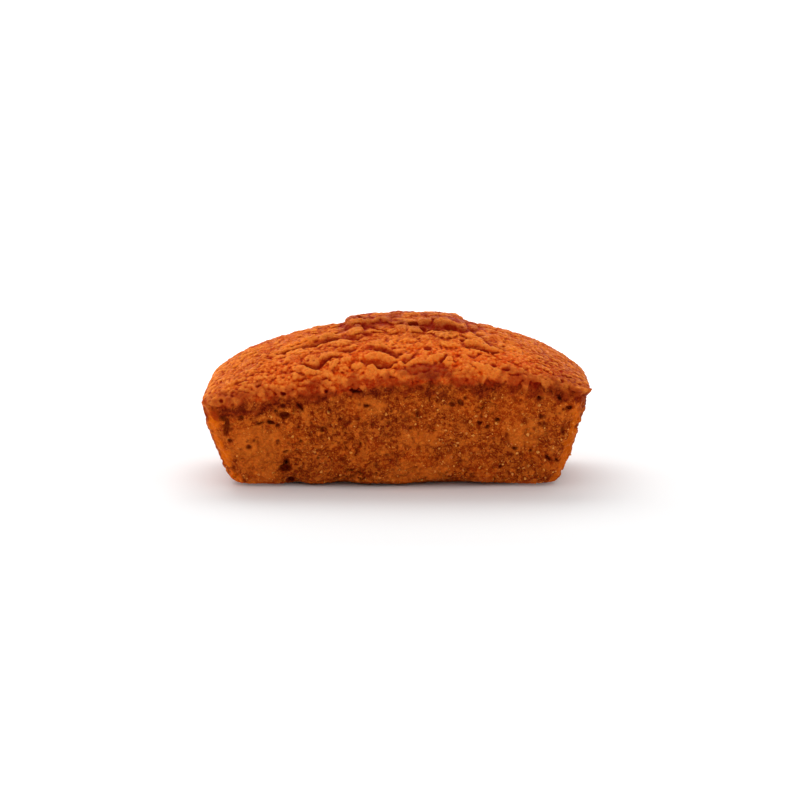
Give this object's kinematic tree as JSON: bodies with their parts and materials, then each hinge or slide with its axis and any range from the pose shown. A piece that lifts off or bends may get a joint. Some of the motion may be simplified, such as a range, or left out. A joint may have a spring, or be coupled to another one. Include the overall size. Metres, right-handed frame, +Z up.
{
  "type": "petit four, small almond loaf cake",
  "caption": "Small rectangular almond cake baked in a tin, with sloping walls under a domed, cracked golden-brown crust; served as a petit four.",
  "frame": {"origin": "Middle of the cake's bounding box in X and Y, on the flat base it rests on.", "axes": "X runs along the length of the cake, from its lower end on the left to its higher end on the right; Y runs from front to back; Z is up."},
  "size_m": [0.088, 0.046, 0.0375],
  "materials": {
    "baked_crumb": null
  },
  "bodies": {
    "root": {"cake": "baked_crumb"}
  },
  "joints": []
}
